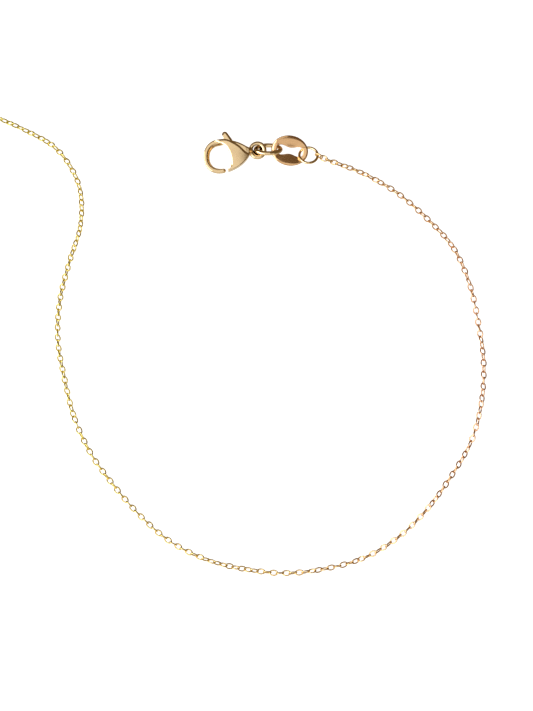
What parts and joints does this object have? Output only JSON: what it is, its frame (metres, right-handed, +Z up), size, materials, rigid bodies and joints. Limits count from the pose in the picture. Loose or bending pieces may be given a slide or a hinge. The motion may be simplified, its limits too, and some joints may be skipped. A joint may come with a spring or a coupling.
{
  "type": "cable chain bracelet",
  "caption": "Fine gold cable chain bracelet laid flat and unfastened, with a trigger clasp, an oval end tag and a ring at each end.",
  "frame": {"origin": "centre of the bottom of the whole bracelet's box, on the surface that it lies on", "axes": "+Z up from the surface, +X along the layout's long side from the far end ring towards the chain's outer bend, +Y from the chain's lowest bend towards the clasp"},
  "size_m": [0.074, 0.0654, 0.0021],
  "materials": {
    "cast_gold": "polished cast 14k gold with soft edges and fine polishing marks",
    "wire_gold": "polished drawn gold wire",
    "tag_gold": "stamped sheet gold, polished with faint lengthwise brushing",
    "chain_gold": "bright fine gold wire, slightly coppery in places"
  },
  "bodies": {
    "bracelet": {"clasp_body": "cast_gold", "lever_pin": "cast_gold", "jump_ring": "wire_gold", "end_tag": "tag_gold", "chain_ring": "wire_gold", "end_link_near": "chain_gold", "chain": "chain_gold", "end_link_far": "chain_gold", "end_ring": "wire_gold"},
    "lever": {"trigger_lever": "cast_gold"}
  },
  "joints": [
    {"name": "trigger_pivot", "type": "hinge", "parent": "bracelet", "child": "lever", "pos_m": [0.00205, 0.02555, 0.00107], "axis": [0, 0, -1], "range_deg": [0, 25], "stiffness_Nm_per_rad": 0.002, "springref_deg": -22.92}
  ]
}
